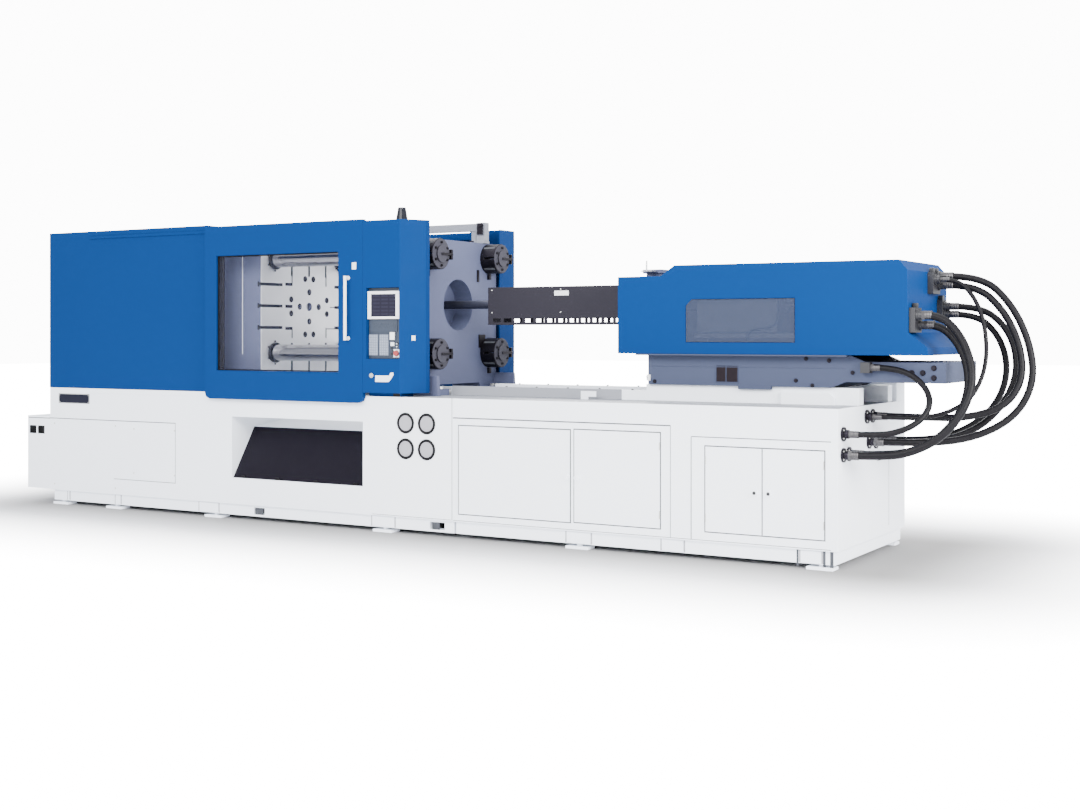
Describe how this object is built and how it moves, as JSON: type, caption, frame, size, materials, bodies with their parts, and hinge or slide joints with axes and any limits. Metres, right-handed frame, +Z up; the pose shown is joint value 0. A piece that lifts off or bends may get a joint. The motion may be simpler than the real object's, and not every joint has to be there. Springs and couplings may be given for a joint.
{
  "type": "injection moulding machine",
  "caption": "Horizontal hydraulic injection moulding machine with sliding safety doors, clamp, moving platen and a sliding injection unit with hoses.",
  "frame": {"origin": "centre of the footprint on the floor, the cords left out", "axes": "+X from the clamp toward the injection unit, +Z up, -Y faces the operator"},
  "size_m": [9.6077, 2.018, 2.761],
  "materials": {
    "bed_white": "satin powder coat",
    "cover_blue": "smooth gloss paint",
    "cast_paint": "satin casting paint",
    "carriage_paint": "satin casting paint",
    "dark_paint": "satin dark paint",
    "grey_paint": "satin grey paint",
    "steel": "ground",
    "bar_chrome": "polished",
    "dark_iron": "blackened",
    "clear_pane": "clear",
    "smoke_pane": "smoked",
    "panel_white": "fine grain",
    "screen_glass": "glossy",
    "key_foil": "matt foil",
    "button_red": "glossy",
    "button_white": "glossy",
    "handle_white": "glossy",
    "hose_rubber": "satin rubber",
    "band_steel": "heat tinted",
    "lamp": "smoked lens"
  },
  "bodies": {
    "machine": {"clamp_bed": "bed_white", "injection_bed": "bed_white", "sole_frame": "bed_white", "levelling_feet": "steel", "end_cabinet": "bed_white", "discharge_chute": "dark_paint", "round_ports": "grey_paint", "stationary_platen": "cast_paint", "tail_platen": "cast_paint", "tie_bars": "bar_chrome", "tie_bar_nuts": "dark_iron", "clamp_cylinder": "dark_paint", "platen_ways": "steel", "carriage_rails": "steel", "clamp_hood": "cover_blue", "console_column": "cover_blue", "rear_column": "cover_blue", "door_tracks": "steel", "top_rails": "grey_paint", "beacon": "lamp", "console_panel": "panel_white", "screen": "screen_glass", "keypads": "key_foil", "pump_set": "dark_paint", "bed_ports": "steel", "hose_1": "hose_rubber", "hose_2": "hose_rubber", "hose_3": "hose_rubber", "hose_4": "hose_rubber", "hose_5": "hose_rubber", "hose_6": "hose_rubber", "hose_7": "hose_rubber", "hose_8": "hose_rubber"},
    "moving_clamp": {"moving_platen": "cast_paint", "clamp_ram": "bar_chrome"},
    "ejector": {"ejector_rod": "steel"},
    "front_door": {"safety_door": "cover_blue", "door_window": "clear_pane", "door_handle": "handle_white"},
    "back_door": {"rear_door": "cover_blue", "rear_window": "clear_pane", "rear_handle": "handle_white"},
    "bed_leaf_1": {"bed_door_1": "bed_white"},
    "bed_leaf_2": {"bed_door_2": "bed_white"},
    "bed_leaf_3": {"bed_door_3": "bed_white"},
    "bed_leaf_4": {"bed_door_4": "bed_white"},
    "injection_unit": {"carriage_base": "carriage_paint", "injection_cover": "cover_blue", "cover_window": "smoke_pane", "barrel": "steel", "heater_bands": "band_steel", "barrel_guard": "dark_paint", "feed_housing": "grey_paint", "shot_cylinders": "dark_paint", "unit_manifold": "steel"},
    "drive_head": {"screw_drive": "dark_paint"},
    "screw_body": {"screw": "steel"},
    "start_cap": {"start_button": "button_white"},
    "stop_cap": {"stop_button": "button_red"},
    "gate": {"feed_gate": "steel"}
  },
  "joints": [
    {"name": "platen_close", "type": "slide", "parent": "machine", "child": "moving_clamp", "axis": [1, 0, 0], "range_m": [0, 0.85]},
    {"name": "ejector_stroke", "type": "slide", "parent": "moving_clamp", "child": "ejector", "axis": [1, 0, 0], "range_m": [0, 0.09]},
    {"name": "safety_door_slide", "type": "slide", "parent": "machine", "child": "front_door", "axis": [-1, 0, 0], "range_m": [0, 1.45]},
    {"name": "rear_door_slide", "type": "slide", "parent": "machine", "child": "back_door", "axis": [-1, 0, 0], "range_m": [0, 1.45]},
    {"name": "bed_door_1_swing", "type": "hinge", "parent": "machine", "child": "bed_leaf_1", "pos_m": [0.6875, -0.903, 0.57], "axis": [0, 0, -1], "range_deg": [0, 100]},
    {"name": "bed_door_2_swing", "type": "hinge", "parent": "machine", "child": "bed_leaf_2", "pos_m": [2.5125, -0.903, 0.575], "axis": [0, 0, 1], "range_deg": [0, 100]},
    {"name": "bed_door_3_swing", "type": "hinge", "parent": "machine", "child": "bed_leaf_3", "pos_m": [2.8935, -0.903, 0.5345], "axis": [0, 0, -1], "range_deg": [0, 100]},
    {"name": "bed_door_4_swing", "type": "hinge", "parent": "machine", "child": "bed_leaf_4", "pos_m": [3.8075, -0.903, 0.5345], "axis": [0, 0, 1], "range_deg": [0, 100]},
    {"name": "carriage_slide", "type": "slide", "parent": "machine", "child": "injection_unit", "axis": [1, 0, 0], "range_m": [0, 0.35], "deforming": ["hose_1", "hose_2", "hose_3", "hose_4", "hose_5", "hose_6", "hose_7", "hose_8"]},
    {"name": "metering_slide", "type": "slide", "parent": "injection_unit", "child": "drive_head", "axis": [1, 0, 0], "range_m": [0, 0.3]},
    {"name": "screw_spin", "type": "hinge", "parent": "drive_head", "child": "screw_body", "pos_m": [2.5, 0, 1.945], "axis": [1, 0, 0], "continuous": true},
    {"name": "start_button_press", "type": "slide", "parent": "machine", "child": "start_cap", "axis": [0, 1, 0], "range_m": [0, 0.005], "stiffness_N_per_m": 800},
    {"name": "stop_button_press", "type": "slide", "parent": "machine", "child": "stop_cap", "axis": [0, 1, 0], "range_m": [0, 0.005], "stiffness_N_per_m": 1000},
    {"name": "feed_gate_push", "type": "slide", "parent": "injection_unit", "child": "gate", "axis": [0, 1, 0], "range_m": [0, 0.09]}
  ]
}
